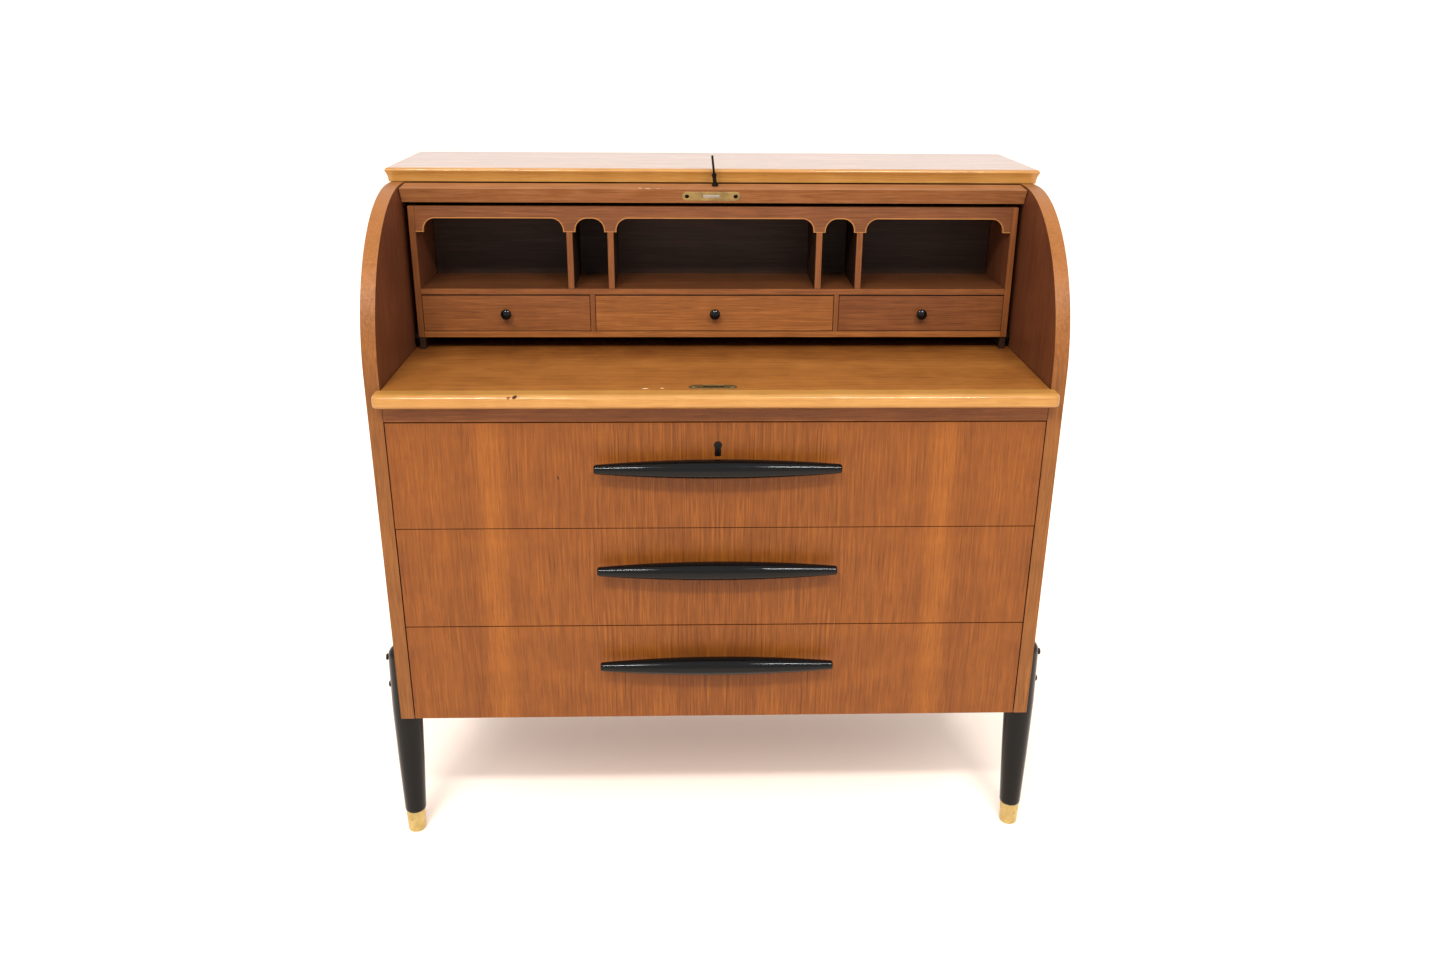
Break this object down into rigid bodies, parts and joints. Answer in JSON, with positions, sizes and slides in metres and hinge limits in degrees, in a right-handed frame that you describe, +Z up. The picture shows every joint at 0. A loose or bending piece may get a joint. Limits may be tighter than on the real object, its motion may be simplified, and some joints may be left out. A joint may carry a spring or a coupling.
{
  "type": "roll-top secretary desk",
  "caption": "Teak secretary desk with an open curved lid over pigeonholes, a sliding writing board, wide drawers with black spindle handles, and black turned legs with brass feet.",
  "frame": {"origin": "on the floor, at the middle of the desk's bounding box seen from above", "axes": "+X to the desk's right as seen from the front, +Y to the back, +Z up"},
  "size_m": [0.995, 0.5084, 1.0322],
  "materials": {
    "teak": "oiled teak veneer and solid teak, satin",
    "teak_inside": "thin teak plywood, matt",
    "honey_teak": "light golden teak, satin",
    "drawer_wood": "plain pale wood, unfinished",
    "ebonised_wood": "black lacquer, semi-gloss",
    "black_insert": "moulded black",
    "brass": "aged brass, satin",
    "steel": "darkened steel"
  },
  "bodies": {
    "root": {"side_panel_left": "teak", "side_panel_right": "teak", "front_rail": "teak", "unit_side_left": "teak", "unit_side_right": "teak", "unit_valance": "teak", "unit_shelf": "teak", "unit_floor": "teak", "pigeonhole_divider_1": "teak", "pigeonhole_divider_2": "teak", "pigeonhole_divider_3": "teak", "pigeonhole_divider_4": "teak", "drawer_divider_left": "teak", "drawer_divider_right": "teak", "back_panel": "teak_inside", "bottom_panel": "teak_inside", "unit_hood": "teak_inside", "unit_bearer_left": "teak_inside", "unit_bearer_right": "teak_inside", "top_board": "honey_teak", "runner_middle_left": "drawer_wood", "runner_middle_right": "drawer_wood", "runner_top_left": "drawer_wood", "runner_top_right": "drawer_wood", "board_guide_left": "drawer_wood", "board_guide_right": "drawer_wood", "leg_front_left": "ebonised_wood", "leg_front_right": "ebonised_wood", "leg_rear_left": "ebonised_wood", "leg_rear_right": "ebonised_wood", "ferrule_front_left": "brass", "ferrule_front_right": "brass", "ferrule_rear_left": "brass", "ferrule_rear_right": "brass"},
    "lid": {"lid_shell": "teak", "lock_rail": "teak", "lid_arm_left": "steel", "lid_arm_right": "steel", "lock_plate": "brass"},
    "lock_bolt": {"lock_bolt": "steel"},
    "key": {"key": "steel"},
    "writing_board": {"writing_board": "teak", "writing_board_lip": "honey_teak", "strike_plate": "brass"},
    "drawer_bottom": {"drawer_front_bottom": "teak", "drawer_tray_bottom": "drawer_wood", "drawer_handle_bottom": "ebonised_wood"},
    "drawer_middle": {"drawer_front_middle": "teak", "drawer_tray_middle": "drawer_wood", "drawer_handle_middle": "ebonised_wood"},
    "drawer_top": {"drawer_front_top": "teak", "drawer_tray_top": "drawer_wood", "drawer_handle_top": "ebonised_wood", "keyhole_insert": "black_insert"},
    "small_drawer_left": {"small_drawer_left": "teak", "small_knob_left": "ebonised_wood"},
    "small_drawer_middle": {"small_drawer_middle": "teak", "small_knob_middle": "ebonised_wood"},
    "small_drawer_right": {"small_drawer_right": "teak", "small_knob_right": "ebonised_wood"}
  },
  "joints": [
    {"name": "lid_swing", "type": "hinge", "parent": "root", "child": "lid", "pos_m": [0, 0.00725, 0.7625], "axis": [1, 0, 0], "range_deg": [0, 87]},
    {"name": "writing_board_slide", "type": "slide", "parent": "root", "child": "writing_board", "axis": [0, -1, 0], "range_m": [0, 0.225]},
    {"name": "drawer_top_slide", "type": "slide", "parent": "root", "child": "drawer_top", "axis": [0, -1, 0], "range_m": [0, 0.3]},
    {"name": "drawer_middle_slide", "type": "slide", "parent": "root", "child": "drawer_middle", "axis": [0, -1, 0], "range_m": [0, 0.3]},
    {"name": "drawer_bottom_slide", "type": "slide", "parent": "root", "child": "drawer_bottom", "axis": [0, -1, 0], "range_m": [0, 0.3]},
    {"name": "small_drawer_left_slide", "type": "slide", "parent": "root", "child": "small_drawer_left", "axis": [0, -1, 0], "range_m": [0, 0.09]},
    {"name": "small_drawer_middle_slide", "type": "slide", "parent": "root", "child": "small_drawer_middle", "axis": [0, -1, 0], "range_m": [0, 0.09]},
    {"name": "small_drawer_right_slide", "type": "slide", "parent": "root", "child": "small_drawer_right", "axis": [0, -1, 0], "range_m": [0, 0.09]},
    {"name": "bolt_throw", "type": "slide", "parent": "lid", "child": "lock_bolt", "axis": [0, 0.8697, 0.4937], "range_m": [-0.0099, 0]},
    {"name": "key_turn", "type": "hinge", "parent": "lid", "child": "key", "pos_m": [0, 0.00525, 0.98847], "axis": [-0.1045, -0.0814, 0.9912], "range_deg": [-90, 0]}
  ],
  "couplings": [
    {"joint": "key_turn", "follows": "bolt_throw", "rad_per_m": 158.6}
  ]
}
